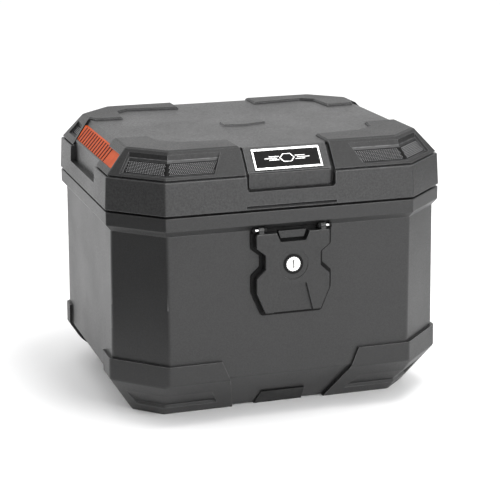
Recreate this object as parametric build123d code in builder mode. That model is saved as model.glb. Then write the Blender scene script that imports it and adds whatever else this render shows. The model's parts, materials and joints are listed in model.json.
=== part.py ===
from build123d import *
import os
from math import atan2, cos, radians, sin, sqrt

os.makedirs("parts", exist_ok=True)

# ---------------------------------------------------------------------------
# Rigid top-opening motorcycle case, millimetres.
# +Z up, -Y is the latch side, +Y the hinge side.  The origin is on the ground
# under the middle of the case.
# ---------------------------------------------------------------------------

# Half the size of the blocks that cut right through the case.
FAR = 230.0

# Plan of the case: a rectangle with its four corners cut off.
WIDTH = 410.0
DEPTH = 366.0
CORNER_LEG = 56.0
CORNER_ROUND = 3.0
BODY_ROUND = 7.0
HALF_X = WIDTH / 2
HALF_Y = DEPTH / 2

# Lid: a steep skirt, a sloping band all round, and a flat top.
LID_BOTTOM = 252.5
SKIRT_TOP = 290.5
SKIRT_LEAN = 2.0
TOP = 321.5
BAND_IN = 27.0
BAND_SLOPE = BAND_IN / (TOP - SKIRT_TOP)
BAND_SINE = sin(atan2(TOP - SKIRT_TOP, BAND_IN))
WALL = 3.0
CAP_SKIN = 3.0
BAND_WALL = 3.5
LID_FLANGE = 11.0
LID_FLANGE_THICK = 5.5
CAP_BOTTOM = SKIRT_TOP + 1.5
CAP_BEVEL = 2.0

# Recesses of the lid.
CENTRE_HALF = 53.5
GROOVE = 4.0
FRONT_RECESS_BOTTOM = 273.0
FRONT_RECESS_TOP = 293.2
FRONT_RECESS_DEPTH = 11.5
FRONT_INSERT_FACE = 7.5
SIDE_RECESS_HALF = 66.0
SIDE_RECESS_BOTTOM = 271.5
SIDE_RECESS_TOP = 298.0
SIDE_RECESS_DEPTH = 11.0
SIDE_PANEL_FACE = 8.0
MESH_FACE = 4.0
MESH_BACK = 5.2
REFLECTOR_FACE = 1.0
REFLECTOR_Z = (298.3, 313.0)
FRONT_WINDOW_Z = (295.5, 317.0)
REAR_WINDOW_Z = (298.5, 313.0)
WINDOW_DRAFT = 14.0

# Base: rim collar, upright walls, and a bevelled bottom.
FLOOR = 2.0
BODY_INSET = 6.5
RIM_INSET = 0.6
RIM_TOP = 250.0
RIM_BOTTOM = 234.6
RIM_UNDER = 227.5
RIM_INNER = 12.0
GROOVE_INSETS = (7.0, 10.0)
GASKET_TOP = 252.2
FLOOR_HALF_X = 170.0
FLOOR_HALF_Y = 125.5
FLOOR_LEG = 29.0
SIDE_SPREAD = 0.633
FRONT_SPREAD = 0.988
CORNER_SPREAD = 1.17
BEVEL_END = 70.0
CREASE_Z = (40.0, 62.0)
CREASE_ROUND = 4.0
SIDE_FLARE = 3.5
BODY_FACE = -(HALF_Y - BODY_INSET)
BODY_BACK = BODY_FACE + WALL

# Corner guards.
GUARD_PROUD = 3.6
GUARD_TOP = 75.0
GUARD_WINDOW_Z = (12.0, 16.0, 34.0)
GUARD_WINDOW_DEPTH = 3.0

# Latch.
COVER_FACE = -187.0
COVER_BACK = -179.0
BAY_FACE = -178.6
BAY_MARGIN = 4.3
LATCH_AXIS_Y = -182.0
LATCH_AXIS_Z = 228.0
KNUCKLE_R = 3.4
LATCH_PIN_R = 1.5
LOCK_Z = 186.5
LOCK_FACE_R = 8.6
LOCK_RING_R = 10.4
BARREL_R = 9.3
RUN_CLEARANCE = 0.05
FINGER_DEPTH = 3.0
DISH_DEPTH = 0.7

# Hook inside the front wall, and the striker on the lid.
HOOK_Y = -158.0
HOOK_Z = 214.0
HOOK_PIN_R = 2.0
HOUSING_FACE = BODY_BACK + 2.0
STRIKER_FACE = -(HALF_Y - SKIRT_LEAN - FRONT_RECESS_DEPTH - WALL)

# Mount release.
BUTTON_Z = 144.0
BUTTON_FACE = -181.5
BUTTON_FLANGE_Y = -168.0

# Hinges.
HINGE_XS = (-120.0, 120.0)
HINGE_Y = HALF_Y
HINGE_Z = 251.2
HINGE_R = 4.0
HINGE_PIN_R = 1.8
HINGE_HALF = 25.0
LEAF_HALF = 8.6
POCKET_CLEARANCE = 0.6

MOUNT_SOCKET_X = 35.0
MOUNT_SOCKET_Y = 104.0


def write(build, name):
    """Label a finished piece and write it as its own STEP file."""
    build.part.label = name
    export_step(build.part, f"parts/{name}.step")


def octagon(inset, height, rounding=CORNER_ROUND, flare=0.0):
    """Plan outline of the case moved in by inset, at one height, its sides moved out by flare."""
    with BuildSketch(Plane.XY.offset(height)) as outline:
        Rectangle(WIDTH - 2 * inset + 2 * flare, DEPTH - 2 * inset)
        chamfer(outline.vertices(), CORNER_LEG - inset * (2 - sqrt(2)) + flare)
        fillet(outline.vertices(), rounding)
    return outline.sketch


def ring_of_walls(lower, upper):
    """Solid between two plan outlines, each given as (inset, height)."""
    with BuildPart() as solid:
        loft([octagon(*lower), octagon(*upper)], ruled=True)
    return solid.part


def band_inset(height, depth):
    """How far in the sloping band lies at a height, when moved in by depth."""
    return SKIRT_LEAN + (height - SKIRT_TOP) * BAND_SLOPE + depth / BAND_SINE


def lid_form(depth, bottom=SKIRT_TOP, edge_round=0.0):
    """The lid above its skirt, with band and top moved in by depth."""
    top = TOP - depth
    with BuildPart() as form:
        add(ring_of_walls((band_inset(bottom, depth), bottom), (band_inset(top, depth), top)))
        if edge_round:
            fillet(form.edges().group_by(Axis.Z)[-1], edge_round)
    return form.part


def slab(xs, ys, zs):
    """A plain block between three pairs of coordinates."""
    with BuildPart(Plane(origin=(sum(xs) / 2, sum(ys) / 2, sum(zs) / 2))) as solid:
        Box(abs(xs[1] - xs[0]), abs(ys[1] - ys[0]), abs(zs[1] - zs[0]))
    return solid.part


def upright(points, zs):
    """A prism standing on a plan outline between two heights."""
    with BuildPart() as solid:
        with BuildSketch(Plane.XY.offset(zs[0])):
            Polygon(*points, align=None)
        extrude(amount=zs[1] - zs[0])
    return solid.part


def drafted(points, zs, draft):
    """A prism hanging from its plan outline at the upper height, narrowing downward."""
    with BuildPart() as solid:
        with BuildSketch(Plane.XY.offset(zs[1])):
            Polygon(*points, align=None)
        extrude(amount=-(zs[1] - zs[0]), taper=draft)
    return solid.part


def across(points, xs):
    """A prism along X on an outline given as (y, z) points."""
    with BuildPart() as solid:
        with BuildSketch(Plane.YZ.offset(xs[0])):
            Polygon(*points, align=None)
        extrude(amount=xs[1] - xs[0])
    return solid.part


def fore_aft(points, ys, rounding=0.0):
    """A prism along Y on an outline given as (x, z) points."""
    with BuildPart() as solid:
        with BuildSketch(Plane.XZ.offset(-ys[1])) as outline:
            Polygon(*points, align=None)
            if rounding:
                fillet(outline.vertices(), rounding)
        extrude(amount=ys[1] - ys[0])
    return solid.part


def rod_x(radius, xs, y, z):
    """A round bar along X."""
    with BuildPart() as solid:
        with BuildSketch(Plane.YZ.offset(xs[0])):
            with Locations((y, z)):
                Circle(radius)
        extrude(amount=xs[1] - xs[0])
    return solid.part


def rod_y(radius, ys, x, z):
    """A round bar along Y."""
    with BuildPart() as solid:
        with BuildSketch(Plane.XZ.offset(-ys[1])):
            with Locations((x, z)):
                Circle(radius)
        extrude(amount=ys[1] - ys[0])
    return solid.part


def both_sides(half):
    """Close a half outline, listed from top to bottom at positive x, by mirroring it."""
    return half + [(-x, z) for x, z in reversed(half)]


# ---------------------------------------------------------------------------
# Lid
# ---------------------------------------------------------------------------

# Plan outlines of the left corner caps and of the windows cut in them.
CAP_FRONT = [(-53.5, -200), (-53.5, -112), (-108, -106), (-131, -88), (-136, -59),
             (-174, -57), (-212, -74), (-212, -200)]
CAP_REAR = [(-51, 200), (-51, 118), (-116, 126), (-131, 114), (-135, 71),
            (-170, 73), (-174, 82.8), (-212, 55.2), (-212, 200)]
FRONT_WINDOW = [(-77, -157.9), (-138.6, -157.9), (-174.2, -122.3), (-211.8, -137.9),
                (-200, -200), (-92.5, -200)]
REAR_WINDOW = [(-183.4, 83), (-183.4, 109), (-230, 117), (-222.7, 50)]
REFLECTOR_SIDE = [(75, REFLECTOR_Z[1]), (-115.5, REFLECTOR_Z[1]),
                  (-121.5, REFLECTOR_Z[0]), (65.5, REFLECTOR_Z[0])]

front_window = drafted(FRONT_WINDOW, FRONT_WINDOW_Z, WINDOW_DRAFT)
rear_window = upright(REAR_WINDOW, REAR_WINDOW_Z)
shell_surface = lid_form(CAP_SKIN, edge_round=2.0)
mesh_floor = lid_form(MESH_BACK)

# Everything inside the lid's walls, less the thicker places behind its recesses.
BACKING_HALF = CENTRE_HALF + 4.0
with BuildPart() as front_backing:
    add(slab((-BACKING_HALF, BACKING_HALF), (-HALF_Y, -130), (264, TOP)))
    add(lid_form(9.5, 264) & slab((-FAR, FAR), (STRIKER_FACE, 0), (260, TOP)), mode=Mode.SUBTRACT)

SIDE_BACKING_X = -(HALF_X - SIDE_RECESS_DEPTH - 2.5)
with BuildPart() as side_backing:
    add(slab((-HALF_X, SIDE_BACKING_X), (-70, 70), (266, 297)))
    mirror(about=Plane.YZ)

with BuildPart() as lid_hollow:
    flange_top = LID_BOTTOM + LID_FLANGE_THICK
    add(ring_of_walls((LID_FLANGE, LID_BOTTOM - 1), (LID_FLANGE, flange_top)))
    add(ring_of_walls((WALL, flange_top), (SKIRT_LEAN + WALL, SKIRT_TOP - WALL)))
    add(lid_form(CAP_SKIN + BAND_WALL, SKIRT_TOP - WALL))
    add(front_backing.part, mode=Mode.SUBTRACT)
    add(side_backing.part, mode=Mode.SUBTRACT)

# The front recess runs from the skirt up the band as two grooves beside the badge.
FRONT_RECESS = both_sides([(53, FRONT_RECESS_TOP), (53, FRONT_RECESS_BOTTOM + 3),
                           (50, FRONT_RECESS_BOTTOM)])
with BuildPart() as front_grooves:
    for side in (-1, 1):
        groove_xs = (side * (CENTRE_HALF - GROOVE), side * CENTRE_HALF)
        add(slab(groove_xs, (-FAR, -148), (SKIRT_TOP - 2, TOP)))
    add(lid_form(6.5, SKIRT_TOP - 3), mode=Mode.SUBTRACT)

NOTCH_HALF = 54.0
NOTCH_OUTLINE = [(-FAR, LID_BOTTOM + 0.8), (-(HALF_Y - 0.6), LID_BOTTOM + 0.8), (-(HALF_Y - 4.2), LID_BOTTOM + 4.6),
                 (-FAR, LID_BOTTOM + 4.6)]
EMBLEM = [(-30, 4), (-30, -16), (-4, -20), (24, -12), (24, 8), (4, 12)]

with BuildPart() as left_cuts:
    add(front_window)
    add(rear_window)
    add(mesh_floor, mode=Mode.SUBTRACT)
    add(slab((-FAR, -(HALF_X - SIDE_RECESS_DEPTH)), (-SIDE_RECESS_HALF, SIDE_RECESS_HALF),
             (SIDE_RECESS_BOTTOM, SIDE_RECESS_TOP)))

with BuildPart() as lid_shell:
    add(ring_of_walls((0, LID_BOTTOM), (SKIRT_LEAN, SKIRT_TOP)))
    fillet(lid_shell.edges().group_by(Axis.Z)[0], 1.0)
    fillet(lid_shell.edges().group_by(Axis.Z)[-1], 1.5)
    add(shell_surface)
    add(lid_hollow.part, mode=Mode.SUBTRACT)
    add(fore_aft(FRONT_RECESS, (-FAR, -(HALF_Y - FRONT_RECESS_DEPTH))), mode=Mode.SUBTRACT)
    add(front_grooves.part, mode=Mode.SUBTRACT)
    add(across(NOTCH_OUTLINE, (-NOTCH_HALF, NOTCH_HALF)), mode=Mode.SUBTRACT)
    add(left_cuts.part, mode=Mode.SUBTRACT)
    add(left_cuts.part.mirror(Plane.YZ), mode=Mode.SUBTRACT)
    for hinge_x in HINGE_XS:
        add(slab((hinge_x - HINGE_HALF - 1, hinge_x + HINGE_HALF + 1),
                 (HINGE_Y - HINGE_R - POCKET_CLEARANCE, FAR),
                 (LID_BOTTOM - 1, HINGE_Z + HINGE_R + POCKET_CLEARANCE)), mode=Mode.SUBTRACT)
    with BuildSketch(Plane.XY.offset(TOP - CAP_SKIN)):
        Polygon(*EMBLEM, align=None)
    extrude(amount=2.0, taper=20)
write(lid_shell, "lid_shell")

reflector_body = across(REFLECTOR_SIDE, (-FAR, -160))

with BuildPart() as cap_skin:
    add(ring_of_walls((band_inset(CAP_BOTTOM, 0), CAP_BOTTOM), (band_inset(TOP, 0), TOP)))
    fillet(cap_skin.edges().group_by(Axis.Z)[0], 0.7)
    add(shell_surface, mode=Mode.SUBTRACT)


def corner_cap(outline, window):
    """A left corner cap: a skin over top and band, cut to its outline, with its window."""
    with BuildPart() as cap:
        add(upright(outline, (CAP_BOTTOM - 1, TOP + 1)) & cap_skin.part)
        chamfer(cap.faces().sort_by(Axis.Z)[-1].edges(), CAP_BEVEL)
        add(window, mode=Mode.SUBTRACT)
        add(reflector_body, mode=Mode.SUBTRACT)
    return cap


def mesh_insert(window):
    """The perforated plate at the bottom of a left window."""
    with BuildPart() as insert:
        add(window & lid_form(MESH_FACE))
        add(mesh_floor, mode=Mode.SUBTRACT)
    return insert


with BuildPart() as reflector:
    add(reflector_body & lid_form(REFLECTOR_FACE))
    add(shell_surface, mode=Mode.SUBTRACT)

with BuildPart() as side_panel:
    add(slab((-(HALF_X - SIDE_PANEL_FACE), -(HALF_X - SIDE_RECESS_DEPTH)),
             (-SIDE_RECESS_HALF, SIDE_RECESS_HALF), (SIDE_RECESS_BOTTOM, SIDE_RECESS_TOP)))
    edge = side_panel.edges().filter_by(Axis.Y).group_by(Axis.Z)[-1].sort_by(Axis.X)[0]
    chamfer(edge, 1.5)

handed_lid_pieces = {
    "lid_cap_front": corner_cap(CAP_FRONT, front_window),
    "lid_cap_rear": corner_cap(CAP_REAR, rear_window),
    "mesh_insert_front": mesh_insert(front_window),
    "mesh_insert_rear": mesh_insert(rear_window),
    "reflector": reflector,
    "side_recess_panel": side_panel,
}
for name, left_piece in handed_lid_pieces.items():
    write(left_piece, name + "_left")
    with BuildPart() as right_piece:
        mirror(left_piece.part, about=Plane.YZ)
    write(right_piece, name + "_right")

# Plain panel in the front recess.
with BuildPart() as lid_front_insert:
    with BuildSketch(Plane.XZ.offset(HALF_Y - FRONT_RECESS_DEPTH)):
        Polygon(*both_sides([(49.3, 292.4), (49.3, 277), (46.8, 274.6)]), align=None)
    extrude(amount=FRONT_RECESS_DEPTH - FRONT_INSERT_FACE)
    front_face = lid_front_insert.faces().sort_by(Axis.Y)[0]
    fillet(front_face.edges(), 0.8)
write(lid_front_insert, "lid_front_insert")

# Badge: a bright frame round a plain dark plate.
FRAME_OUTER = (40.5, 296.0, 316.6)
FRAME_BORDER = 1.9


def band_plate(half_x, low, high, face):
    """A plate lying on the lid's front band, its face given as a depth."""
    plate = slab((-half_x, half_x), (-FAR, -120), (low, high)) & lid_form(face)
    return plate - shell_surface


frame_inner = (FRAME_OUTER[0] - FRAME_BORDER, FRAME_OUTER[1] + FRAME_BORDER, FRAME_OUTER[2] - FRAME_BORDER)
with BuildPart() as badge_frame:
    add(band_plate(*FRAME_OUTER, 1.8))
    add(band_plate(*frame_inner, 1.0), mode=Mode.SUBTRACT)
write(badge_frame, "badge_frame")
with BuildPart() as badge_plate:
    add(band_plate(*frame_inner, 2.2))
write(badge_plate, "badge_plate")

# Striker: a steel plate inside the lid's front, with a window for the hook.
with BuildPart() as lid_striker:
    add(slab((-20, 20), (STRIKER_FACE, STRIKER_FACE + 2), (238, 288)))
    add(slab((-10, 10), (STRIKER_FACE - 1, STRIKER_FACE + 3), (242, 252)), mode=Mode.SUBTRACT)
    for x in (-20, 20):
        add(slab((x - 6, x + 6), (STRIKER_FACE - 1, STRIKER_FACE + 3), (237, 258)), mode=Mode.SUBTRACT)
    for x in (-12, 12):
        add(rod_y(2.2, (STRIKER_FACE - 1, STRIKER_FACE + 3), x, 278), mode=Mode.SUBTRACT)
write(lid_striker, "lid_striker")


def screws_y(places, head_y, direction, head_r=3.6, shank_r=2.2, head=2.0, shank=0.0):
    """Pan-head screws along Y: heads outside the given face, shanks through it."""
    with BuildPart() as screws:
        for x, z in places:
            head_end = head_y + direction * head
            add(rod_y(head_r, sorted((head_y, head_end)), x, z))
            if shank:
                add(rod_y(shank_r, sorted((head_y, head_y - direction * shank)), x, z))
            add(rod_y(1.2, sorted((head_end, head_end - direction * 1.0)), x, z), mode=Mode.SUBTRACT)
    return screws


write(screws_y([(-12, 278), (12, 278)], STRIKER_FACE + 2, 1, shank=2.0), "striker_screws")

# ---------------------------------------------------------------------------
# Base
# ---------------------------------------------------------------------------


def side_flare(height):
    """How far the side walls stand out from upright at a height."""
    return SIDE_FLARE * (RIM_BOTTOM - height) / RIM_BOTTOM


def bevel_outline(height, grow):
    """Plan outline of the bevelled bottom at a height, its faces moved out by grow."""
    rise = height - FLOOR
    half_x = FLOOR_HALF_X + SIDE_SPREAD * rise + grow * sqrt(1 + SIDE_SPREAD ** 2)
    half_y = FLOOR_HALF_Y + FRONT_SPREAD * rise + grow * sqrt(1 + FRONT_SPREAD ** 2)
    corner = (FLOOR_HALF_X + FLOOR_HALF_Y - FLOOR_LEG + CORNER_SPREAD * rise
              + grow * sqrt(2 + CORNER_SPREAD ** 2))
    with BuildSketch(Plane.XY.offset(height)) as outline:
        Rectangle(2 * half_x, 2 * half_y)
        chamfer(outline.vertices(), half_x + half_y - corner)
        fillet(outline.vertices(), BODY_ROUND)
    return outline.sketch


def base_form(inset, bottom, top, grow, crease_round=0.0):
    """The case body: upright walls meeting the bevelled bottom."""
    with BuildPart() as walls:
        loft([octagon(inset, height, BODY_ROUND, side_flare(height)) for height in (bottom, top)], ruled=True)
    with BuildPart() as wedge:
        loft([bevel_outline(bottom, grow), bevel_outline(BEVEL_END, grow)], ruled=True)
        add(slab((-FAR, FAR), (-FAR, FAR), (BEVEL_END, top + 1)))
    with BuildPart() as solid:
        add(walls.part & wedge.part)
        if crease_round:
            creases = solid.edges().filter_by(
                lambda edge: CREASE_Z[0] < edge.center().Z < CREASE_Z[1] and edge.bounding_box().size.Z < 12)
            fillet(creases, crease_round)
    return solid.part


body_outer = base_form(BODY_INSET, FLOOR, RIM_BOTTOM, 0, CREASE_ROUND)

COVER_HALF = [(44.3, 224), (44.3, 207.7), (33.5, 199), (33.5, 182.3), (44.3, 172.3), (44.3, 154.9),
              (33.8, 130)]
SLOT_HALF_X = 12.5
SLOT_Z = (158.0, 200.0)
BUTTON_HALF = (9.0, 6.0)
front_openings = [
    slab((-SLOT_HALF_X, SLOT_HALF_X), (-FAR, BODY_BACK + 2.1), SLOT_Z),
    slab((-BUTTON_HALF[0] - 0.4, BUTTON_HALF[0] + 0.4), (-FAR, BODY_BACK + 0.1),
         (BUTTON_Z - BUTTON_HALF[1] - 0.4, BUTTON_Z + BUTTON_HALF[1] + 0.4)),
]
SOCKET_OPENING = (15.0, 6.0)
BOLT_WINDOW = ((-14, 14), (-112, -100))

with BuildPart() as rim:
    add(ring_of_walls((BODY_INSET, RIM_UNDER), (RIM_INSET, RIM_BOTTOM)))
    add(ring_of_walls((RIM_INSET, RIM_BOTTOM), (RIM_INSET, RIM_TOP)))
    fillet(rim.edges().group_by(Axis.Z)[-1], 1.0)
    fillet(rim.edges().filter_by(lambda edge: abs(edge.bounding_box().min.Z - RIM_BOTTOM) < 0.01
                                 and edge.bounding_box().size.Z < 0.01), 2.0)

with BuildPart() as base_shell:
    add(body_outer)
    add(rim.part)
    add(base_form(BODY_INSET + WALL, FLOOR + WALL, RIM_UNDER - 1.5, -WALL), mode=Mode.SUBTRACT)
    add(ring_of_walls((RIM_INNER, RIM_UNDER - 1.5), (RIM_INNER, RIM_TOP + 1)), mode=Mode.SUBTRACT)
    add(ring_of_walls((GROOVE_INSETS[0], RIM_TOP - 3), (GROOVE_INSETS[0], RIM_TOP + 1))
        - ring_of_walls((GROOVE_INSETS[1], RIM_TOP - 3), (GROOVE_INSETS[1], RIM_TOP + 1)),
        mode=Mode.SUBTRACT)
    for opening in front_openings:
        add(opening, mode=Mode.SUBTRACT)
    for hinge_x in HINGE_XS:
        add(slab((hinge_x - HINGE_HALF - 1, hinge_x + HINGE_HALF + 1),
                 (HINGE_Y - HINGE_R - POCKET_CLEARANCE, FAR),
                 (HINGE_Z - HINGE_R - POCKET_CLEARANCE, RIM_TOP + 1)), mode=Mode.SUBTRACT)
    for x in (-MOUNT_SOCKET_X, MOUNT_SOCKET_X):
        add(slab((x - SOCKET_OPENING[0], x + SOCKET_OPENING[0]),
                 (MOUNT_SOCKET_Y - SOCKET_OPENING[1], MOUNT_SOCKET_Y + SOCKET_OPENING[1]),
                 (0, FLOOR + WALL + 1)), mode=Mode.SUBTRACT)
    add(slab(*BOLT_WINDOW, (0, FLOOR + WALL + 1)), mode=Mode.SUBTRACT)
write(base_shell, "base_shell")

with BuildPart() as rim_gasket:
    add(ring_of_walls((GROOVE_INSETS[0], RIM_TOP - 3), (GROOVE_INSETS[0], GASKET_TOP)))
    add(ring_of_walls((GROOVE_INSETS[1], RIM_TOP - 4), (GROOVE_INSETS[1], GASKET_TOP + 1)),
        mode=Mode.SUBTRACT)
write(rim_gasket, "rim_gasket")

# Corner guards: a skin over the lower corners, standing on the ground.
GUARD_FRONT = [(-84, GUARD_TOP), (-74, 51), (-57.5, 0), (-57.5, -2), (-FAR, -2), (-FAR, GUARD_TOP)]
GUARD_SIDE = [(-88, GUARD_TOP), (-91, 47), (-98, 0), (-98, -2), (-FAR, -2), (-FAR, GUARD_TOP)]
REAR_GUARD_SIDE = [(-104, GUARD_TOP), (-105, 52), (-112, 30), (-112, -2), (-FAR, -2), (-FAR, GUARD_TOP)]
WINDOW_FRONT = [(-92, GUARD_WINDOW_Z[2]), (-80, GUARD_WINDOW_Z[0]), (-FAR, GUARD_WINDOW_Z[0]),
                (-FAR, GUARD_WINDOW_Z[2])]
WINDOW_SIDE = [(-124, GUARD_WINDOW_Z[2]), (-114, GUARD_WINDOW_Z[0]), (-FAR, GUARD_WINDOW_Z[0]),
               (-FAR, GUARD_WINDOW_Z[2])]

guard_outer = base_form(BODY_INSET - GUARD_PROUD, 0, GUARD_TOP + 20, GUARD_PROUD, CREASE_ROUND)

# The window deepens downward from the crease, then a lip slopes back out.
with BuildPart() as window_floor:
    low, deepest, high = GUARD_WINDOW_Z
    deep_grow = GUARD_PROUD - GUARD_WINDOW_DEPTH
    loft([bevel_outline(low, GUARD_PROUD), bevel_outline(deepest, deep_grow)], ruled=True)
    loft([bevel_outline(deepest, deep_grow), bevel_outline(high, GUARD_PROUD)], ruled=True)
guard_window = (fore_aft(WINDOW_FRONT, (-FAR, 0)) & across(WINDOW_SIDE, (-FAR, 0))) - window_floor.part


def corner_guard(side_outline):
    """A guard for the front left corner, reaching along the side to the given outline."""
    with BuildPart() as guard:
        add(guard_outer)
        add(body_outer, mode=Mode.SUBTRACT)
        add(fore_aft(GUARD_FRONT, (-FAR, 0)), mode=Mode.INTERSECT)
        add(across(side_outline, (-FAR, 0)), mode=Mode.INTERSECT)
        add(guard_window, mode=Mode.SUBTRACT)
    return guard


for place, side_outline in (("front", GUARD_SIDE), ("rear", REAR_GUARD_SIDE)):
    with BuildPart() as left_guard:
        add(corner_guard(side_outline).part)
        if place == "rear":
            add(left_guard.part.mirror(Plane.XZ), mode=Mode.REPLACE)
    write(left_guard, f"corner_guard_{place}_left")
    with BuildPart() as right_guard:
        mirror(left_guard.part, about=Plane.YZ)
    write(right_guard, f"corner_guard_{place}_right")

# Pad under the middle of the front edge.
pad_outer = base_form(BODY_INSET - 1.6, 0, 60, 1.6)
with BuildPart() as front_foot_pad:
    add(pad_outer)
    add(body_outer, mode=Mode.SUBTRACT)
    add(fore_aft([(-27, 21), (27, 21), (30, 0), (30, -1), (-30, -1), (-30, 0)], (-FAR, -114)),
        mode=Mode.INTERSECT)
write(front_foot_pad, "front_foot_pad")

# Sockets for the carrier's two rear lugs.
for name, x in (("left", -MOUNT_SOCKET_X), ("right", MOUNT_SOCKET_X)):
    with BuildPart() as mount_socket:
        add(slab((x - 19, x + 19), (MOUNT_SOCKET_Y - 10, MOUNT_SOCKET_Y + 10), (FLOOR + WALL, 19)))
        add(slab((x - SOCKET_OPENING[0], x + SOCKET_OPENING[0]),
                 (MOUNT_SOCKET_Y - SOCKET_OPENING[1], MOUNT_SOCKET_Y + SOCKET_OPENING[1]),
                 (FLOOR + WALL - 1, 16.5)), mode=Mode.SUBTRACT)
    write(mount_socket, "mount_socket_" + name)

with BuildPart() as floor_mat:
    with BuildSketch(Plane.XY.offset(FLOOR + WALL)) as mat_outline:
        with Locations((0, 4)):
            Rectangle(300, 172)
        fillet(mat_outline.vertices(), 14)
    extrude(amount=2.0)
write(floor_mat, "floor_mat")

# ---------------------------------------------------------------------------
# Latch
# ---------------------------------------------------------------------------

# Bay: the dark backing plate, the fixed tab in the cover's notch, and four ears.
EAR_XS = ((31.2, 34.2), (44.8, 47.0))
ARM_XS = (34.5, 40.3)
with BuildPart() as latch_bay:
    with BuildSketch(Plane.XZ.offset(-BODY_FACE)) as bay_outline:
        Polygon(*both_sides(COVER_HALF), align=None)
        offset(amount=BAY_MARGIN)
    extrude(amount=BODY_FACE - BAY_FACE)
    add(slab((-60, 60), (-FAR, 0), (RIM_UNDER - 0.2, 260)), mode=Mode.SUBTRACT)
    add(fore_aft(both_sides([(17.2, 226), (14.2, 217)]), (-182.0, BAY_FACE), 1.0))
    for side in (-1, 1):
        for ear in EAR_XS:
            ear_xs = sorted(side * x for x in ear)
            add(slab(ear_xs, (LATCH_AXIS_Y, BAY_FACE), (LATCH_AXIS_Z - KNUCKLE_R, RIM_UNDER - 0.2)))
            add(rod_x(KNUCKLE_R, ear_xs, LATCH_AXIS_Y, LATCH_AXIS_Z))
            add(rod_x(LATCH_PIN_R, ear_xs, LATCH_AXIS_Y, LATCH_AXIS_Z), mode=Mode.SUBTRACT)
    for opening in front_openings:
        add(opening, mode=Mode.SUBTRACT)
write(latch_bay, "latch_bay")

with BuildPart() as latch_hinge_pins:
    for side in (-1, 1):
        pin_xs = sorted((side * EAR_XS[0][0], side * EAR_XS[1][1]))
        add(rod_x(LATCH_PIN_R, pin_xs, LATCH_AXIS_Y, LATCH_AXIS_Z))
write(latch_hinge_pins, "latch_hinge_pins")

# Cover: an X-shaped flap, hollow behind, with a notch, a finger panel and the lock's dish.
with BuildPart() as latch_cover:
    add(fore_aft(both_sides(COVER_HALF), (COVER_FACE, COVER_BACK), 2.0))
    chamfer(latch_cover.faces().sort_by(Axis.Y)[0].edges(), 0.8)
    add(fore_aft(both_sides([(21.4, 228), (15.4, 213.5)]), (-FAR, 0), 2.0), mode=Mode.SUBTRACT)
    add(fore_aft([(-16, 163), (16, 163), (26, 122), (-26, 122)], (-FAR, COVER_FACE + FINGER_DEPTH), 1.0),
        mode=Mode.SUBTRACT)
    add(rod_y(18, (COVER_FACE - 1, COVER_FACE + DISH_DEPTH), 0, LOCK_Z), mode=Mode.SUBTRACT)
    with BuildSketch(Plane.XZ.offset(-COVER_BACK)) as hollow_outline:
        Polygon(*both_sides([(41.5, 211), (41.5, 209), (30.7, 200.2), (30.7, 181.2), (41.5, 171),
                             (41.5, 155.5), (32, 132.8)]), align=None)
    extrude(amount=3.0, mode=Mode.SUBTRACT)
    for side in (-1, 1):
        arm_xs = sorted(side * x for x in ARM_XS)
        add(across([(COVER_FACE + 1.2, 220), (COVER_BACK, 220), (COVER_BACK, 223.5),
                    (LATCH_AXIS_Y + KNUCKLE_R * 0.85, LATCH_AXIS_Z - 1.5),
                    (LATCH_AXIS_Y - KNUCKLE_R * 0.9, LATCH_AXIS_Z - 1.5)], arm_xs))
        add(rod_x(KNUCKLE_R, arm_xs, LATCH_AXIS_Y, LATCH_AXIS_Z))
        add(rod_x(LATCH_PIN_R + RUN_CLEARANCE, arm_xs, LATCH_AXIS_Y, LATCH_AXIS_Z), mode=Mode.SUBTRACT)
    add(rod_y(LOCK_RING_R, (COVER_BACK - 4, COVER_BACK), 0, LOCK_Z))
    add(rod_y(BARREL_R, (-FAR, 0), 0, LOCK_Z), mode=Mode.SUBTRACT)
    add(rod_y(LOCK_RING_R, (-FAR, COVER_FACE + 1.6), 0, LOCK_Z), mode=Mode.SUBTRACT)
write(latch_cover, "latch_cover")

# Lock: the barrel and its black bezel stay with the cover, the cylinder turns in them.
BARREL_END = -173.4
CYLINDER_R = 6.5
with BuildPart() as lock_barrel:
    add(rod_y(BARREL_R, (COVER_FACE + 1.6, BARREL_END), 0, LOCK_Z))
    add(rod_y(LOCK_RING_R, (COVER_FACE, COVER_FACE + 1.6), 0, LOCK_Z))
    add(rod_y(LOCK_FACE_R + RUN_CLEARANCE, (COVER_FACE - 1, COVER_FACE + 1.6), 0, LOCK_Z), mode=Mode.SUBTRACT)
    add(rod_y(CYLINDER_R + RUN_CLEARANCE, (-FAR, 0), 0, LOCK_Z), mode=Mode.SUBTRACT)
write(lock_barrel, "lock_barrel")

with BuildPart() as lock_nut:
    with BuildSketch(Plane.XZ.offset(-COVER_BACK)) as nut_outline:
        with Locations((0, LOCK_Z)):
            Circle(12.3)
            Circle(BARREL_R, mode=Mode.SUBTRACT)
    extrude(amount=-1.6)
write(lock_nut, "lock_nut")

CAM_Y = (-171.0, -168.6)
with BuildPart() as lock_cylinder:
    add(rod_y(LOCK_FACE_R, (COVER_FACE + 0.1, COVER_FACE + 1.5), 0, LOCK_Z))
    add(rod_y(CYLINDER_R, (COVER_FACE + 0.1, CAM_Y[0]), 0, LOCK_Z))
    add(slab((-1.1, 1.1), (COVER_FACE - 1, COVER_FACE + 9), (LOCK_Z - 5.2, LOCK_Z + 5.2)),
        mode=Mode.SUBTRACT)
write(lock_cylinder, "lock_cylinder")

with BuildPart() as lock_cam:
    add(rod_y(7.0, CAM_Y, 0, LOCK_Z))
    add(slab((-5, 5), CAM_Y, (LOCK_Z - 20, LOCK_Z)))
    add(rod_y(2.6, (CAM_Y[0] - 1, CAM_Y[1] + 1), 0, LOCK_Z), mode=Mode.SUBTRACT)
write(lock_cam, "lock_cam")

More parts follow.
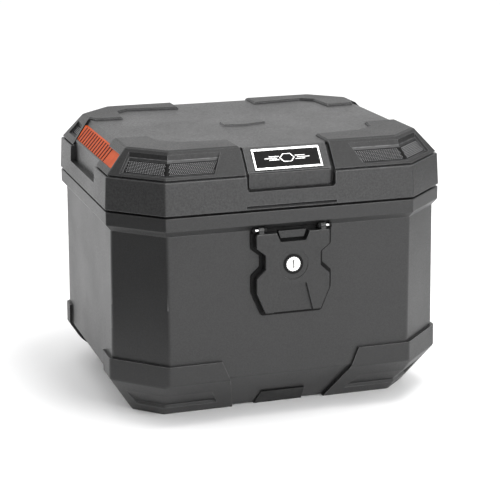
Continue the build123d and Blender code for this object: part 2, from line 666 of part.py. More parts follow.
with BuildPart() as cam_screw:
    add(rod_y(2.6, CAM_Y, 0, LOCK_Z))
    add(rod_y(4.4, (CAM_Y[1], CAM_Y[1] + 2.2), 0, LOCK_Z))
    add(slab((-0.5, 0.5), (CAM_Y[1] + 1.2, CAM_Y[1] + 3), (LOCK_Z - 5, LOCK_Z + 5)), mode=Mode.SUBTRACT)
write(cam_screw, "cam_screw")

# Housing inside the front wall, with two cheeks that carry the hook's pin.
CHEEK_XS = (9.0, 11.5)
with BuildPart() as hook_housing:
    add(slab((-28, 28), (BODY_BACK, HOUSING_FACE), (154, 222)))
    for side in (-1, 1):
        cheek_xs = sorted(side * x for x in CHEEK_XS)
        add(slab(cheek_xs, (HOUSING_FACE, HOOK_Y), (HOOK_Z - 7, HOOK_Z + 7)))
        add(rod_x(7.0, cheek_xs, HOOK_Y, HOOK_Z))
        add(rod_x(HOOK_PIN_R, cheek_xs, HOOK_Y, HOOK_Z), mode=Mode.SUBTRACT)
    add(front_openings[0], mode=Mode.SUBTRACT)
    for x in (-20, 20):
        for z in (160, 216):
            add(rod_y(2.2, (-FAR, 0), x, z), mode=Mode.SUBTRACT)
write(hook_housing, "hook_housing")
write(screws_y([(x, z) for x in (-20, 20) for z in (160, 216)], HOUSING_FACE, 1, shank=2.0),
      "housing_screws")

with BuildPart() as hook_pin:
    add(rod_x(HOOK_PIN_R, (-CHEEK_XS[1] - 1, CHEEK_XS[1] + 1), HOOK_Y, HOOK_Z))
write(hook_pin, "hook_pin")

# Hook, drawn turned back from the striker.
HOOK_BACK = 24.0
HOOK_POINTS = [(-3.5, 0), (-3.5, 28.8), (-10, 28.8), (-11.5, 30.5), (-10, 35), (3, 35), (5, 32), (5, 0)]


def turned_back(y, z):
    """Turn a hook point about the hook's pin, away from the front."""
    turn = radians(-HOOK_BACK)
    return (HOOK_Y + y * cos(turn) - z * sin(turn), HOOK_Z + y * sin(turn) + z * cos(turn))


with BuildPart() as latch_hook:
    add(across([turned_back(y, z) for y, z in HOOK_POINTS], (-4, 4)))
    add(rod_x(6.0, (-8.6, 8.6), HOOK_Y, HOOK_Z))
    add(rod_x(HOOK_PIN_R + RUN_CLEARANCE, (-9, 9), HOOK_Y, HOOK_Z), mode=Mode.SUBTRACT)
write(latch_hook, "latch_hook")

# Mount release: button, link and bolt slide back together.
with BuildPart() as release_button:
    add(slab((-BUTTON_HALF[0], BUTTON_HALF[0]), (BUTTON_FACE, BUTTON_FLANGE_Y),
             (BUTTON_Z - BUTTON_HALF[1], BUTTON_Z + BUTTON_HALF[1])))
    fillet(release_button.faces().sort_by(Axis.Y)[0].edges(), 0.8)
    add(slab((-12, 12), (BUTTON_FLANGE_Y, BUTTON_FLANGE_Y + 2), (BUTTON_Z - 9, BUTTON_Z + 7)))
write(release_button, "release_button")

LINK_BACK = BUTTON_FLANGE_Y + 2
LINK = [(LINK_BACK, 149), (LINK_BACK + 3, 149), (LINK_BACK + 3, 60.9), (-117.5, 15), (-96, 15), (-96, 12),
        (-119, 12), (LINK_BACK, 59.5)]
with BuildPart() as release_link:
    add(across(LINK, (-5, 5)))
write(release_link, "release_link")

with BuildPart() as mount_bolt:
    add(across([(-110, 6), (-94, 6), (-94, 12), (-114, 12), (-114, 9)], (-9, 9)))
write(mount_bolt, "mount_bolt")

# Cover over the whole mechanism, open at the top for the striker.
COVER_OUT = [(BODY_BACK, 222), (-142, 222), (-142, 72), (-83, 24), (-83, 5), (-124.1, 5), (BODY_BACK, 52.5)]
COVER_IN = [(BODY_BACK - 5, 230), (-144, 230), (-144, 71), (-85, 23), (-85, 4), (-140, 4), (BODY_BACK - 5, 45)]
with BuildPart() as mechanism_cover:
    add(across(COVER_OUT, (-32, 32)))
    add(across(COVER_IN, (-30, 30)), mode=Mode.SUBTRACT)
    add(base_form(BODY_INSET + WALL, FLOOR + WALL, 230, -WALL), mode=Mode.INTERSECT)
write(mechanism_cover, "mechanism_cover")

# ---------------------------------------------------------------------------
# Hinges
# ---------------------------------------------------------------------------

RIM_REAR = HALF_Y - RIM_INSET
for side_name, hinge_x in zip(("left", "right"), HINGE_XS):
    outer_knuckles = [(hinge_x - HINGE_HALF, hinge_x - LEAF_HALF - 0.4),
                      (hinge_x + LEAF_HALF + 0.4, hinge_x + HINGE_HALF)]
    leaf_xs = (hinge_x - LEAF_HALF, hinge_x + LEAF_HALF)

    with BuildPart() as hinge_bracket:
        add(slab((hinge_x - HINGE_HALF, hinge_x + HINGE_HALF), (RIM_REAR, RIM_REAR + 3), (236, 245)))
        for knuckle_xs in outer_knuckles:
            add(across([(RIM_REAR, 240), (RIM_REAR + 3, 240), (RIM_REAR + 4, 246), (RIM_REAR + 3, HINGE_Z),
                        (RIM_REAR, HINGE_Z)], knuckle_xs))
            add(rod_x(HINGE_R, knuckle_xs, HINGE_Y, HINGE_Z))
            add(rod_x(HINGE_PIN_R, knuckle_xs, HINGE_Y, HINGE_Z), mode=Mode.SUBTRACT)
    write(hinge_bracket, "hinge_bracket_" + side_name)

    with BuildPart() as hinge_leaf:
        add(slab((hinge_x - HINGE_HALF, hinge_x + HINGE_HALF), (HINGE_Y - 3, HINGE_Y + 3), (262, 280)))
        add(across([(HINGE_Y - 1, HINGE_Z), (HINGE_Y + 3.5, HINGE_Z), (HINGE_Y + 3, 263), (HINGE_Y, 263),
                    (HINGE_Y, 256)], leaf_xs))
        add(ring_of_walls((0, LID_BOTTOM), (SKIRT_LEAN, SKIRT_TOP)) - slab((-FAR, FAR), (-FAR, FAR), (0, 256)),
            mode=Mode.SUBTRACT)
        add(rod_x(HINGE_R, leaf_xs, HINGE_Y, HINGE_Z))
        add(rod_x(HINGE_PIN_R + RUN_CLEARANCE, leaf_xs, HINGE_Y, HINGE_Z), mode=Mode.SUBTRACT)
    write(hinge_leaf, "hinge_leaf_" + side_name)

    with BuildPart() as hinge_pin:
        add(rod_x(HINGE_PIN_R, (hinge_x - HINGE_HALF, hinge_x + HINGE_HALF), HINGE_Y, HINGE_Z))
    write(hinge_pin, "hinge_pin_" + side_name)

bracket_places = [(x + dx, 240.5) for x in HINGE_XS for dx in (-5, 5)]
write(screws_y(bracket_places, RIM_REAR + 3, 1, head_r=3.2, head=1.6), "bracket_screws")
leaf_places = [(x + dx, 271) for x in HINGE_XS for dx in (-17, 17)]
write(screws_y(leaf_places, HINGE_Y + 3, 1, head_r=3.2, head=1.0), "leaf_screws")
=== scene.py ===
"""Looks of the motorcycle case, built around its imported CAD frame.  Lengths in metres."""
import json
import math

import bmesh
import bpy
from mathutils import Matrix, Vector


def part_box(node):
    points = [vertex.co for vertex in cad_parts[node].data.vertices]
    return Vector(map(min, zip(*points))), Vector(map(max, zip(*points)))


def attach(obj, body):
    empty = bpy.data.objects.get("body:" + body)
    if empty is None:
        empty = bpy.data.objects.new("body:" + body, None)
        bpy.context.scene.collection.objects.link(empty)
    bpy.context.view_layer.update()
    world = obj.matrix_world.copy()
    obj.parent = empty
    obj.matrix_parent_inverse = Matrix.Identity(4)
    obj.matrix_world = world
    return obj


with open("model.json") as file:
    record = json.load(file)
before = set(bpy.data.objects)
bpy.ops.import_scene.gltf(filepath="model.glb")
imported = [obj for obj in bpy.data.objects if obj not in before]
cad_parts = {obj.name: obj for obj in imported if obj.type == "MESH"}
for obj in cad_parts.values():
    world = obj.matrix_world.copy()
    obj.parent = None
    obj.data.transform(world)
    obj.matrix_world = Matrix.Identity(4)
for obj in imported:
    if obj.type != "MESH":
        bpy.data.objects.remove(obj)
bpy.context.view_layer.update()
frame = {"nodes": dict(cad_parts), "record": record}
nodes = frame["nodes"]

MM = 0.001


def put_in_scene(name, data):
    """A new object with this data, linked to the scene."""
    thing = bpy.data.objects.new(name, data)
    bpy.context.scene.collection.objects.link(thing)
    return thing


# ---------------------------------------------------------------------------
# Camera: yaw from +Y toward +X, pitch downward and roll in degrees, lens and
# sensor in the millimetres that Blender takes
# ---------------------------------------------------------------------------

CAMERA_YAW = 17.47
CAMERA_PITCH = 14.86
CAMERA_ROLL = -0.47
CAMERA_PLACE = (-0.5997, -1.9269, 0.6916)
CAMERA_LENS = 120.0
CAMERA_SENSOR = 36.0
CAMERA_NEAREST = 0.05


def add_camera():
    yaw, pitch, roll = (math.radians(a) for a in (CAMERA_YAW, CAMERA_PITCH, CAMERA_ROLL))
    forward = Vector((math.sin(yaw) * math.cos(pitch), math.cos(yaw) * math.cos(pitch), -math.sin(pitch)))
    level_right = Vector((math.cos(yaw), -math.sin(yaw), 0))
    level_up = level_right.cross(forward)
    right = math.cos(roll) * level_right + math.sin(roll) * level_up
    up = math.cos(roll) * level_up - math.sin(roll) * level_right
    data = bpy.data.cameras.new("camera")
    data.lens = CAMERA_LENS
    data.sensor_width = CAMERA_SENSOR
    data.clip_start = CAMERA_NEAREST
    camera = put_in_scene("camera", data)
    turn = Matrix((right, up, -forward)).transposed()
    camera.matrix_world = Matrix.Translation(CAMERA_PLACE) @ turn.to_4x4()
    bpy.context.scene.camera = camera


add_camera()

# ---------------------------------------------------------------------------
# Materials
# ---------------------------------------------------------------------------

SURFACE_IOR = 1.5
USUAL_SPECULAR = 0.5
NOISE_LOW = 0.3
NOISE_HIGH = 0.7
EDGE_RADIUS = 1.2 * MM
EDGE_SAMPLES = 4
FLAT_DOT = 0.995
SHARP_DOT = 0.90


class Shader:
    """A material with a few short ways to add and join nodes."""

    def __init__(self, name, color, roughness, metallic=0.0, specular=USUAL_SPECULAR):
        self.material = bpy.data.materials.new(name)
        self.material.use_nodes = True
        self.tree = self.material.node_tree
        self.surface = self.tree.nodes["Principled BSDF"]
        self.set("Base Color", (*color, 1.0))
        self.set("Roughness", roughness)
        self.set("Metallic", metallic)
        self.set("IOR", SURFACE_IOR)
        self.set("Specular IOR Level", specular)
        self.place = self.add("ShaderNodeTexCoord").outputs["Object"]

    def set(self, socket, value):
        self.surface.inputs[socket].default_value = value

    def feed(self, socket, output):
        self.join(output, self.surface.inputs[socket])

    def add(self, kind, **settings):
        node = self.tree.nodes.new(kind)
        for key, value in settings.items():
            if key in node.inputs:
                node.inputs[key].default_value = value
            else:
                setattr(node, key, value)
        return node

    def join(self, output, target):
        self.tree.links.new(output, target)

    def noise(self, scale, detail=2.0, roughness=0.5):
        node = self.add("ShaderNodeTexNoise", Scale=scale, Detail=detail, Roughness=roughness)
        self.join(self.place, node.inputs["Vector"])
        return node.outputs["Fac"]

    def cells(self, scale):
        node = self.add("ShaderNodeTexVoronoi", Scale=scale)
        self.join(self.place, node.inputs["Vector"])
        return node.outputs["Distance"]

    def remap(self, value, low, high, out_low, out_high):
        node = self.add("ShaderNodeMapRange")
        self.join(value, node.inputs["Value"])
        for key, number in (("From Min", low), ("From Max", high), ("To Min", out_low), ("To Max", out_high)):
            node.inputs[key].default_value = number
        return node.outputs["Result"]

    def spread(self, noise, out_low=0.0, out_high=1.0):
        """A noise's usual range, spread over another one."""
        return self.remap(noise, NOISE_LOW, NOISE_HIGH, out_low, out_high)

    def math(self, operation, first, second):
        node = self.add("ShaderNodeMath", operation=operation)
        for socket, value in zip(node.inputs, (first, second)):
            if isinstance(value, (int, float)):
                socket.default_value = value
            else:
                self.join(value, socket)
        return node.outputs["Value"]

    def mix_color(self, factor, first, second):
        node = self.add("ShaderNodeMix", data_type="RGBA")
        self.join(factor, node.inputs["Factor"])
        for socket, value in ((node.inputs["A"], first), (node.inputs["B"], second)):
            if isinstance(value, tuple):
                socket.default_value = (*value, 1.0)
            else:
                self.join(value, socket)
        return node.outputs["Result"]

    def bump(self, height, distance, strength=1.0, under=None):
        node = self.add("ShaderNodeBump", Strength=strength, Distance=distance)
        self.join(height, node.inputs["Height"])
        if under is not None:
            self.join(under, node.inputs["Normal"])
        return node.outputs["Normal"]

    def edge_mask(self):
        """Near 1 along sharp edges and 0 on flat faces."""
        bevel = self.add("ShaderNodeBevel", Radius=EDGE_RADIUS, samples=EDGE_SAMPLES)
        geometry = self.add("ShaderNodeNewGeometry")
        dot = self.add("ShaderNodeVectorMath", operation="DOT_PRODUCT")
        self.join(bevel.outputs["Normal"], dot.inputs[0])
        self.join(geometry.outputs["True Normal"], dot.inputs[1])
        return self.remap(dot.outputs["Value"], FLAT_DOT, SHARP_DOT, 0.0, 1.0)


MOTTLE_SCALE = 14.0
MOTTLE_ROUGHNESS = 0.04
SPECKLE_PER_GRAIN = 0.55
SPECKLE_ROUGHNESS = 0.05
SPECKLE_LIGHT = 1.45
SPECKLE_DARK = 0.7
FINE_PER_GRAIN = 1.7
# The edge lightening below is partly wear and partly painted highlight along the edges.
EDGE_PATCH_SCALE = 160.0
WEAR_AND_HIGHLIGHT_LIFT = 0.10
RUB_POLISH = 0.08
COOL_TINT = 0.02


def cool_grey(shade, factor=1.0):
    """A grey with a trace more blue than red and green."""
    return (shade * factor, shade * factor, shade * (factor + COOL_TINT))


def moulded_plastic(name, shade, roughness, grain, depth, wear_and_highlight=0.35, specular=USUAL_SPECULAR):
    """Black moulded plastic: a sandy grain, faint mottling, and edges painted a little lighter, partly as
    wear and partly as painted highlight.
    """
    look = Shader(name, cool_grey(shade), roughness, specular=specular)
    mottle = look.noise(MOTTLE_SCALE, 3.0)
    speckle = look.noise(grain * SPECKLE_PER_GRAIN, 2.0, 0.6)
    grained = look.mix_color(look.remap(speckle, 0.35, 0.65, 0.0, 1.0),
                             cool_grey(shade, SPECKLE_DARK), cool_grey(shade, SPECKLE_LIGHT))
    patches = look.remap(look.noise(EDGE_PATCH_SCALE), 0.35, 0.6, 0.4, 1.0)
    edges = look.math("MULTIPLY", look.edge_mask(), patches)
    # Painted highlight along edges: the edge mask lightens the colour, partly as wear and partly standing in
    # for light catching the edges.
    worn_and_highlit = (shade + WEAR_AND_HIGHLIGHT_LIFT, shade + WEAR_AND_HIGHLIGHT_LIFT, shade + WEAR_AND_HIGHLIGHT_LIFT * (1.0 + COOL_TINT))
    look.feed("Base Color", look.mix_color(look.math("MULTIPLY", edges, wear_and_highlight), grained, worn_and_highlit))
    rough = look.math("ADD", look.spread(mottle, -MOTTLE_ROUGHNESS, MOTTLE_ROUGHNESS), roughness)
    rough = look.math("ADD", rough, look.spread(speckle, SPECKLE_ROUGHNESS, -SPECKLE_ROUGHNESS))
    look.feed("Roughness", look.math("SUBTRACT", rough, look.math("MULTIPLY", edges, RUB_POLISH)))
    coarse = look.bump(look.cells(grain), depth, 0.6)
    look.feed("Normal", look.bump(look.noise(grain * FINE_PER_GRAIN, 3.0, 0.65), depth, 0.8, coarse))
    return look.material


SCRATCH_SCALE = 220.0
SCRATCH_DEPTH = 0.03 * MM
TARNISH_SCALE = 35.0
TARNISH = 0.72
POLISHED = 0.7
SCUFFED = 1.5


def worked_metal(name, color, roughness):
    """Plated or polished metal with fine scratches and uneven polish."""
    look = Shader(name, color, roughness, metallic=1.0)
    scratches = look.noise(SCRATCH_SCALE, 6.0, 0.7)
    tint = tuple(c * TARNISH for c in color)
    look.feed("Base Color", look.mix_color(look.spread(look.noise(TARNISH_SCALE, 4.0)), tint, color))
    look.feed("Roughness", look.spread(scratches, roughness * POLISHED, roughness * SCUFFED))
    look.feed("Normal", look.bump(scratches, SCRATCH_DEPTH, 0.6))
    return look.material


RUBBER_ROUGHNESS = 0.75
RUBBER_UNEVENNESS = 0.10
RUBBER_PATCH_SCALE = 60.0
RUBBER_SKIN_SCALE = 900.0
RUBBER_SKIN_DEPTH = 0.08 * MM


def soft_rubber(name, shade):
    """Dull black rubber with a fine uneven skin."""
    look = Shader(name, (shade, shade, shade), RUBBER_ROUGHNESS)
    look.feed("Roughness", look.spread(look.noise(RUBBER_PATCH_SCALE, 3.0),
                                       RUBBER_ROUGHNESS - RUBBER_UNEVENNESS,
                                       RUBBER_ROUGHNESS + RUBBER_UNEVENNESS))
    look.feed("Normal", look.bump(look.noise(RUBBER_SKIN_SCALE, 3.0), RUBBER_SKIN_DEPTH, 0.7))
    return look.material


LENS_ROUGHNESS = 0.35
LENS_SPECULAR = 0.04
LENS_CLOUD_SCALE = 90.0
LENS_SKIN_SCALE = 400.0
LENS_SKIN_DEPTH = 0.04 * MM


def lens_plastic(name, color, shade):
    """Moulded coloured plastic: a deep, slightly uneven colour under a weak satin skin."""
    look = Shader(name, color, LENS_ROUGHNESS, specular=LENS_SPECULAR)
    look.feed("Base Color", look.mix_color(look.spread(look.noise(LENS_CLOUD_SCALE)), shade, color))
    look.feed("Normal", look.bump(look.noise(LENS_SKIN_SCALE), LENS_SKIN_DEPTH, 0.4))
    return look.material


# The wear setting is how far edges are painted lighter: partly wear, partly painted edge highlight.
SLOT_PLASTICS = {
    "shell_plastic": dict(shade=0.011, roughness=0.40, grain=1500.0, depth=0.05 * MM, wear_and_highlight=0.7),
    "cap_plastic": dict(shade=0.008, roughness=0.48, grain=900.0, depth=0.18 * MM, wear_and_highlight=0.9, specular=0.40),
    "guard_plastic": dict(shade=0.009, roughness=0.44, grain=1300.0, depth=0.08 * MM, wear_and_highlight=0.9),
    "mesh_plastic": dict(shade=0.002, roughness=0.60, grain=1500.0, depth=0.04 * MM, specular=0.15),
    "black_plastic": dict(shade=0.003, roughness=0.60, grain=1500.0, depth=0.04 * MM, wear_and_highlight=0.05,
                          specular=0.15),
}

finishes = {slot: moulded_plastic(slot, **look) for slot, look in SLOT_PLASTICS.items()}
finishes["reflector"] = lens_plastic("reflector", (0.50, 0.070, 0.006), (0.42, 0.052, 0.004))
finishes["bright_metal"] = worked_metal("bright_metal", (0.88, 0.88, 0.87), 0.26)
finishes["steel"] = worked_metal("steel", (0.60, 0.60, 0.61), 0.36)
finishes["rubber"] = soft_rubber("rubber", 0.010)
finishes["red_plastic"] = lens_plastic("red_plastic", (0.45, 0.02, 0.02), (0.35, 0.012, 0.012))

lid_finish = moulded_plastic("lid_plastic", shade=0.016, roughness=0.42, grain=750.0,
                             depth=0.18 * MM, wear_and_highlight=0.9)
cover_finish = moulded_plastic("cover_plastic", shade=0.009, roughness=0.42, grain=900.0,
                               depth=0.12 * MM, wear_and_highlight=0.12)
# The studs' light grey is painted highlight: it stands for light catching the tops of black studs.
stud_highlight_finish = moulded_plastic("stud_painted_highlight", shade=0.15, roughness=0.35, grain=1500.0, depth=0.02 * MM)
# The ribs' dark red is painted shade, standing for the dark lines that the reflector's prisms show.
rib_shade_finish = lens_plastic("lens_rib_painted_shade", (0.05, 0.003, 0.001), (0.03, 0.002, 0.001))


def finish_cad_pieces():
    """Each CAD piece takes its slot's finish, apart from the few with a finish of their own."""
    own_finish = {"lid_shell": lid_finish, "lid_front_insert": lid_finish, "latch_cover": cover_finish,
                  "badge_plate": finishes["black_plastic"]}
    slot_of = {part["node"]: part["material_slot"] for part in frame["record"]["subparts"]}
    for name, node in nodes.items():
        node.data.materials.clear()
        node.data.materials.append(own_finish.get(name, finishes[slot_of[name]]))


finish_cad_pieces()

# ---------------------------------------------------------------------------
# Small surface features, laid on the outer faces of the CAD pieces
# ---------------------------------------------------------------------------

LEAST_TRIANGLE = 1e-9
FACING_DOT = 0.5


class Face:
    """One flat outer face of a CAD piece, with u level along it and v up its slope."""

    def __init__(self, normal, triangles):
        self.normal = normal
        self.u = Vector((0, 0, 1)).cross(normal).normalized()
        self.v = normal.cross(self.u)
        self.level = sum(p.dot(normal) for t in triangles for p in t) / (3 * len(triangles))
        self.triangles = [[(p.dot(self.u), p.dot(self.v)) for p in t] for t in triangles]
        points = [p for t in self.triangles for p in t]
        self.u_range = (min(p[0] for p in points), max(p[0] for p in points))
        self.v_range = (min(p[1] for p in points), max(p[1] for p in points))

    def place(self, u, v, height):
        return self.u * u + self.v * v + self.normal * (self.level + height)

    def holds(self, u, v):
        for (ax, ay), (bx, by), (cx, cy) in self.triangles:
            sides = ((bx - ax) * (v - ay) - (by - ay) * (u - ax),
                     (cx - bx) * (v - by) - (cy - by) * (u - bx),
                     (ax - cx) * (v - cy) - (ay - cy) * (u - cx))
            if min(sides) >= 0 or max(sides) <= 0:
                return True
        return False


def outer_faces(name, toward, least_area):
    """The flat faces of a CAD piece that look toward a direction, joined by their normals."""
    mesh = nodes[name].data
    mesh.calc_loop_triangles()
    groups = {}
    for triangle in mesh.loop_triangles:
        normal = Vector(triangle.normal)
        if triangle.area > LEAST_TRIANGLE and normal.dot(Vector(toward)) > FACING_DOT:
            key = tuple(round(c, 2) for c in normal)
            groups.setdefault(key, []).append(triangle)
    faces = []
    for triangles in groups.values():
        if sum(t.area for t in triangles) > least_area:
            normal = Vector(triangles[0].normal).normalized()
            corners = [[mesh.vertices[i].co.copy() for i in t.vertices] for t in triangles]
            faces.append(Face(normal, corners))
    return faces


def add_piece(name, build, material, body):
    """Make one visible piece from a bmesh and let it ride on a CAD body."""
    mesh = bpy.data.meshes.new(name)
    build.normal_update()
    build.to_mesh(mesh)
    build.free()
    mesh.materials.append(material)
    piece = put_in_scene(name, mesh)
    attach(piece, body)


def add_block(build, under, over):
    """A closed block between two rings of points, both anticlockwise as seen from above the second."""
    bottom = [build.verts.new(point) for point in under]
    top = [build.verts.new(point) for point in over]
    build.faces.new(top)
    build.faces.new(bottom[::-1])
    for i in range(len(bottom)):
        j = (i + 1) % len(bottom)
        build.faces.new((bottom[i], bottom[j], top[j], top[i]))


FEATURE_SINK = 0.1 * MM


def add_prism(build, face, outline, top_outline, height):
    """A tapered block on a face, sunk a little into it, between two outlines of (u, v) points."""
    add_block(build, [face.place(u, v, -FEATURE_SINK) for u, v in outline],
              [face.place(u, v, height) for u, v in top_outline])


def rectangle(u_low, u_high, v_low, v_high):
    return [(u_low, v_low), (u_high, v_low), (u_high, v_high), (u_low, v_high)]


def square(u, v, half):
    return rectangle(u - half, u + half, v - half, v + half)


STUD_PITCH = 2.3 * MM
STUD_ROW_STEP = STUD_PITCH * 0.8
STUD_HALF = 0.62 * MM
STUD_TOP_HALF = 0.42 * MM
STUD_HEIGHT = 0.45 * MM
LEAST_PLATE = 60 * MM * MM


def add_studs(name, toward):
    """Rows of small square studs over the perforated plates, coloured lighter than the plate as painted
    highlight on their tops.
    """
    build = bmesh.new()
    for face in outer_faces(name, toward, LEAST_PLATE):
        rows = int((face.v_range[1] - face.v_range[0]) / STUD_ROW_STEP)
        columns = int((face.u_range[1] - face.u_range[0]) / STUD_PITCH)
        for row in range(rows + 1):
            for column in range(columns + 1):
                u = face.u_range[0] + (column + 0.5 * (row % 2)) * STUD_PITCH
                v = face.v_range[0] + row * STUD_ROW_STEP
                if all(face.holds(*corner) for corner in square(u, v, STUD_PITCH * 0.5)):
                    add_prism(build, face, square(u, v, STUD_HALF), square(u, v, STUD_TOP_HALF), STUD_HEIGHT)
    add_piece(name + "_studs", build, stud_highlight_finish, "lid")


RIB_COUNT = 14
RIB_START = 72.0 * MM
RIB_END = -76.0 * MM
RIB_HALF = 2.0 * MM
RIB_CREST_HALF = RIB_HALF * 0.4
RIB_HEIGHT = 0.5 * MM
RIB_END_GAP = 0.3 * MM
RIB_PROBES = 60
RIB_LEAST_PROBES = 20
LEAST_LENS = 500 * MM * MM


def add_lens_ribs(side, toward):
    """Prism ribs across a side reflector, wherever the lens is wide enough for one, coloured dark as painted
    shade for the prisms' dark lines.
    """
    build = bmesh.new()
    for face in outer_faces("reflector_" + side, toward, LEAST_LENS):
        low, high = face.v_range
        for rib in range(RIB_COUNT):
            y = RIB_START + (RIB_END - RIB_START) * rib / (RIB_COUNT - 1)
            u = y * face.u.y
            probes = [low + (high - low) * k / RIB_PROBES for k in range(RIB_PROBES + 1)]
            inside = [v for v in probes if face.holds(u - RIB_HALF, v) and face.holds(u + RIB_HALF, v)]
            if len(inside) > RIB_LEAST_PROBES:
                start = inside[0] + RIB_END_GAP
                end = inside[-1] - RIB_END_GAP
                add_prism(build, face, rectangle(u - RIB_HALF, u + RIB_HALF, start, end),
                          rectangle(u - RIB_CREST_HALF, u + RIB_CREST_HALF, start, end), RIB_HEIGHT)
    add_piece("reflector_ribs_" + side, build, rib_shade_finish, "lid")


MARK_HEIGHT = 0.4 * MM
MARK_LINE = 0.9 * MM
MARK_RADIUS = 6.2 * MM
MARK_STRETCH = 1.5
BAR_STEP = 2.2 * MM
BAR_START = 12 * MM
BAR_END = 27 * MM
BAR_SHORTER = 2.5
LEAST_BADGE = 200 * MM * MM


def add_badge_mark():
    """A plain hexagon between two sets of level bars, raised on the badge."""
    build = bmesh.new()
    face = max(outer_faces("badge_plate", (0, -0.75, 0.65), LEAST_BADGE), key=lambda f: f.level)
    mid_u = sum(face.u_range) / 2
    mid_v = sum(face.v_range) / 2

    def hexagon(radius):
        return [(mid_u + MARK_STRETCH * radius * math.cos(math.pi / 3 * k),
                 mid_v + radius * math.sin(math.pi / 3 * k)) for k in range(6)]

    outer = hexagon(MARK_RADIUS)
    inner = hexagon(MARK_RADIUS - MARK_LINE)
    for k in range(6):
        j = (k + 1) % 6
        quad = [outer[k], outer[j], inner[j], inner[k]]
        add_prism(build, face, quad, quad, MARK_HEIGHT)
    for sign in (-1, 1):
        for step in (-BAR_STEP, 0, BAR_STEP):
            near = mid_u + sign * (BAR_START - abs(step))
            far = mid_u + sign * (BAR_END - BAR_SHORTER * abs(step))
            low = mid_v + step - MARK_LINE / 2
            bar = rectangle(min(near, far), max(near, far), low, low + MARK_LINE)
            add_prism(build, face, bar, bar, MARK_HEIGHT)
    add_piece("badge_mark", build, finishes["bright_metal"], "lid")


RING_TEETH = 20
RING_STEPS_PER_TOOTH = 4
RING_INNER = 8.3 * MM
RING_TOOTH = 8.9 * MM
RING_OUTER = 11.7 * MM
RING_PROUD = 0.25 * MM


def add_lock_ring():
    """The lock's black ring, its inner edge cut into small teeth."""
    build = bmesh.new()
    low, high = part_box("lock_barrel")
    centre = (low + high) / 2
    steps = RING_TEETH * RING_STEPS_PER_TOOTH

    def point(radius, step, y):
        angle = 2 * math.pi * step / steps
        return (centre.x + radius * math.cos(angle), y, centre.z + radius * math.sin(angle))

    for k in range(steps):
        inner = RING_INNER if k % RING_STEPS_PER_TOOTH < RING_STEPS_PER_TOOTH / 2 else RING_TOOTH
        back, front = ([point(inner, k, y), point(RING_OUTER, k, y),
                        point(RING_OUTER, k + 1, y), point(inner, k + 1, y)]
                       for y in (low.y + FEATURE_SINK, low.y - RING_PROUD))
        add_block(build, back, front)
    add_piece("lock_ring", build, finishes["black_plastic"], "latch_cover")


TAB_TOP_HALF = 16.6 * MM
TAB_BOTTOM_HALF = 13.9 * MM
TAB_DROP = 8.4 * MM
TAB_HALF_THICK = 0.6 * MM
TAB_ABOVE_LOCK = 39.2 * MM
TAB_BEHIND_COVER = 5.0 * MM


def add_tab_face():
    """The grained face of the fixed tab in the latch cover's notch."""
    build = bmesh.new()
    lock_low, lock_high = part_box("lock_barrel")
    top = (lock_low.z + lock_high.z) / 2 + TAB_ABOVE_LOCK
    bottom = top - TAB_DROP
    middle_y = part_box("latch_cover")[0].y + TAB_BEHIND_COVER
    outline = [(-TAB_TOP_HALF, top), (-TAB_BOTTOM_HALF, bottom),
               (TAB_BOTTOM_HALF, bottom), (TAB_TOP_HALF, top)]
    add_block(build, [(x, middle_y + TAB_HALF_THICK, z) for x, z in outline],
              [(x, middle_y - TAB_HALF_THICK, z) for x, z in outline])
    add_piece("latch_tab_face", build, cover_finish, "base")


SIDES = (("left", -1), ("right", 1))
for side, sign in SIDES:
    add_studs("mesh_insert_front_" + side, (sign * 0.3, -0.7, 0.65))
    add_studs("mesh_insert_rear_" + side, (sign * 0.75, 0, 0.65))
for side, sign in SIDES:
    add_lens_ribs(side, (sign * 0.75, 0, 0.65))
add_badge_mark()
add_lock_ring()
add_tab_face()

# ---------------------------------------------------------------------------
# Stage
# ---------------------------------------------------------------------------

FLOOR_HALF = 9.0
FLOOR_COLOR = (0.96, 0.96, 0.962)
CARD_COLOR = (0.16, 0.16, 0.16)
LEFT_CARD = [(-0.75, -1.0, 0.001), (-0.75, 0.10, 0.001), (-0.75, 0.10, 0.75), (-0.75, -1.0, 0.75)]
LEFT_CARD_FOOT = [(-0.75, -1.0, 0.001), (-0.30, -1.0, 0.002), (-0.30, -0.35, 0.002), (-0.75, 0.10, 0.001)]
RIGHT_CARD = [(1.15, -0.6, 0.05), (1.15, 1.2, 0.05), (1.15, 1.2, 0.6), (1.15, -0.6, 0.6)]


def add_floor():
    """A wide white floor."""
    mesh = bpy.data.meshes.new("floor")
    corners = [(u, v, 0) for u, v in square(0, 0, FLOOR_HALF)]
    mesh.from_pydata(corners, [], [(0, 1, 2, 3)])
    mesh.materials.append(Shader("floor", FLOOR_COLOR, 0.6).material)
    floor = put_in_scene("floor", mesh)


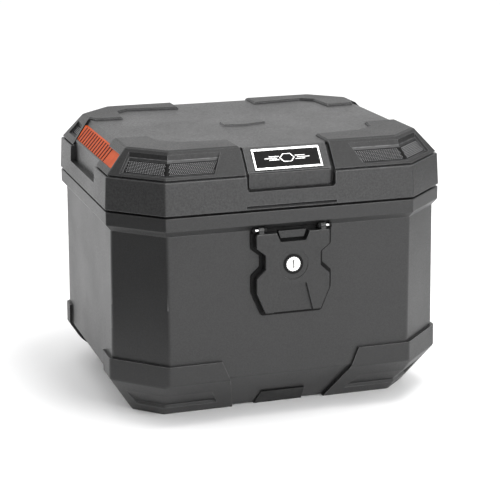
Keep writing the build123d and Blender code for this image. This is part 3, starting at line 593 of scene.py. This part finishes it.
def add_dark_cards():
    """Dark cards at the left and right that only show in reflections."""
    mesh = bpy.data.meshes.new("dark_card")
    corners = LEFT_CARD + LEFT_CARD_FOOT + RIGHT_CARD
    mesh.from_pydata(corners, [], [(0, 1, 2, 3), (4, 5, 6, 7), (8, 9, 10, 11)])
    mesh.materials.append(Shader("dark_card", CARD_COLOR, 0.9).material)
    card = put_in_scene("dark_card", mesh)
    card.visible_camera = False
    card.visible_diffuse = False
    card.visible_shadow = False


WORLD_STRENGTH = 1.12
DIM_STRENGTH = 0.7
DIM_TOWARD = (-0.93, -0.36, 0.05)
DIM_START = 0.2
DIM_FULL = 0.85


def add_world():
    """A white surround, dimmer toward the left."""
    world = bpy.data.worlds.new("studio")
    bpy.context.scene.world = world
    world.use_nodes = True
    tree = world.node_tree
    background = tree.nodes["Background"]
    background.inputs["Color"].default_value = (1.0, 1.0, 1.0, 1.0)
    direction = tree.nodes.new("ShaderNodeTexCoord").outputs["Generated"]
    dot = tree.nodes.new("ShaderNodeVectorMath")
    dot.operation = "DOT_PRODUCT"
    dot.inputs[1].default_value = Vector(DIM_TOWARD).normalized()
    ramp = tree.nodes.new("ShaderNodeMapRange")
    for key, number in (("From Min", DIM_START), ("From Max", DIM_FULL),
                        ("To Min", WORLD_STRENGTH), ("To Max", DIM_STRENGTH)):
        ramp.inputs[key].default_value = number
    tree.links.new(direction, dot.inputs[0])
    tree.links.new(dot.outputs["Value"], ramp.inputs["Value"])
    tree.links.new(ramp.outputs["Result"], background.inputs["Strength"])


CASE_MIDDLE = Vector((0.0, 0.0, 0.16))


def add_area(name, place, size, power):
    """A rectangular lamp that points at the middle of the case."""
    data = bpy.data.lights.new(name, "AREA")
    data.shape = "RECTANGLE"
    data.size, data.size_y = size
    data.energy = power
    light = put_in_scene(name, data)
    light.location = place
    light.rotation_euler = (CASE_MIDDLE - Vector(place)).to_track_quat("-Z", "Y").to_euler()


add_floor()
add_world()
add_dark_cards()
add_area("front_high", (0.9, -2.3, 1.3), (1.6, 0.9), 42.0)
add_area("overhead", (0.55, -0.3, 2.3), (1.1, 0.9), 20.0)
add_area("back_left", (-2.0, 1.9, 1.2), (1.6, 1.6), 16.0)

bpy.context.scene.view_settings.view_transform = "Standard"
